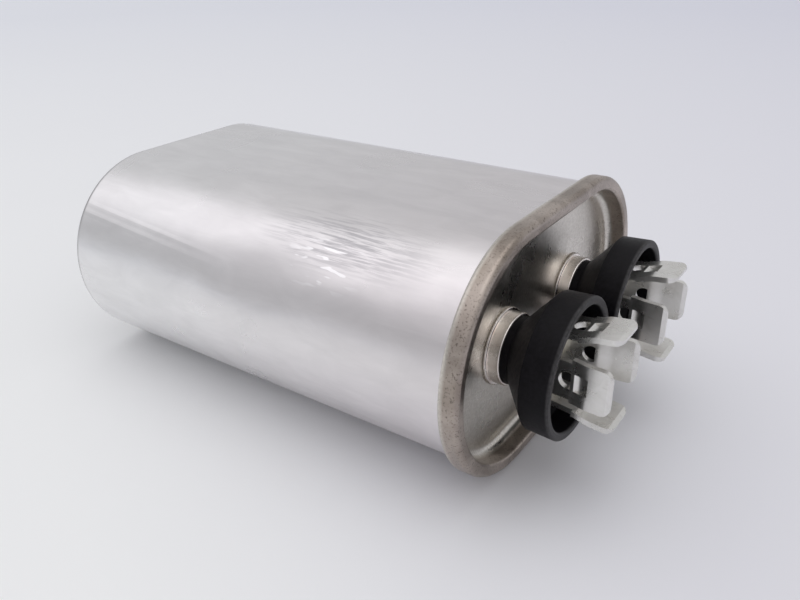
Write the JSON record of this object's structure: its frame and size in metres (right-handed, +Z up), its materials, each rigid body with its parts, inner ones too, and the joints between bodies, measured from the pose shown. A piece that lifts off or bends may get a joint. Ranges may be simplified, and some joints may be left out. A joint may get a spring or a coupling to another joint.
{
  "type": "motor run capacitor",
  "caption": "Oval aluminium can with a double-seamed recessed cover and two funnel insulators that hold bent quick-connect blades.",
  "frame": {"origin": "ground point under the middle of the whole length, the can lying on one flat side with the seam's lowest line at z = 0", "axes": "+X along the can's axis towards the terminals, +Y across the long way of the oval, +Z up across the short way"},
  "size_m": [0.0904, 0.057, 0.0359],
  "materials": {
    "can": "drawn, satin, lightly scuffed",
    "cover": "tin-plated steel, dull",
    "ferrule": "tinned, bright",
    "insulator": "moulded black thermoset",
    "tab": "tin-plated brass, bright",
    "stud": "tin-plated brass",
    "fibre": "pressed fibre and moulded plastic",
    "laminate": "phenolic laminate",
    "lead": "tinned copper strip",
    "zinc": "sprayed zinc, grainy",
    "film": "metallised polypropylene film"
  },
  "bodies": {
    "root": {"can": "can", "cover": "cover", "ferrule_left": "ferrule", "ferrule_right": "ferrule", "insulator_left": "insulator", "insulator_right": "insulator", "outer_tabs_left": "tab", "outer_tabs_right": "tab", "inner_tabs_left": "tab", "inner_tabs_right": "tab", "stud_left": "stud", "stud_right": "stud", "bushing_left": "fibre", "bushing_right": "fibre", "interrupter_plate": "laminate", "lead_left": "lead", "lead_right": "lead", "top_spacer": "fibre", "contact_top": "zinc", "winding": "film", "core": "fibre", "contact_bottom": "zinc", "wrap": "fibre", "bottom_insulator": "fibre"}
  },
  "joints": []
}
